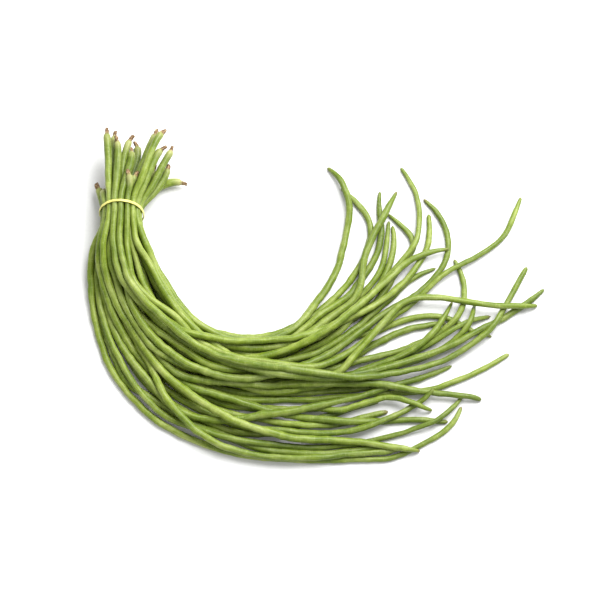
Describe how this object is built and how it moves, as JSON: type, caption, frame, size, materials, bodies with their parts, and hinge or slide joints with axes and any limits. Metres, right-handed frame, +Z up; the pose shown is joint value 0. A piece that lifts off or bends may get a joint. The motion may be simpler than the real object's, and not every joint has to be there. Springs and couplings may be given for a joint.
{
  "type": "yardlong bean bunch",
  "caption": "Fresh yardlong beans tied with a rubber band near the stem ends, bending round and fanning out as they lie.",
  "frame": {"origin": "on the floor, under the middle of the bunch's bounding box", "axes": "+Z up; the pods leave the band towards -Y and fan out towards +X, the bunch's longest extent"},
  "size_m": [0.4574, 0.3378, 0.0476],
  "materials": {
    "bean": "satin green skin",
    "band": "smooth yellow rubber"
  },
  "bodies": {
    "root": {"bean_pod_01": "bean", "bean_pod_02": "bean", "bean_pod_03": "bean", "bean_pod_04": "bean", "bean_pod_05": "bean", "bean_pod_06": "bean", "bean_pod_07": "bean", "bean_pod_08": "bean", "bean_pod_09": "bean", "bean_pod_10": "bean", "bean_pod_11": "bean", "bean_pod_12": "bean", "bean_pod_13": "bean", "bean_pod_14": "bean", "bean_pod_15": "bean", "bean_pod_16": "bean", "bean_pod_17": "bean", "bean_pod_18": "bean", "bean_pod_19": "bean", "bean_pod_20": "bean", "bean_pod_21": "bean", "bean_pod_22": "bean", "bean_pod_23": "bean", "bean_pod_24": "bean", "bean_pod_25": "bean", "bean_pod_26": "bean", "bean_pod_27": "bean", "bean_pod_28": "bean", "bean_pod_29": "bean", "bean_pod_30": "bean", "bean_pod_31": "bean", "bean_pod_32": "bean", "bean_pod_33": "bean", "bean_pod_34": "bean", "bean_pod_35": "bean", "bean_pod_36": "bean", "bean_pod_37": "bean", "rubber_band": "band"}
  },
  "joints": []
}
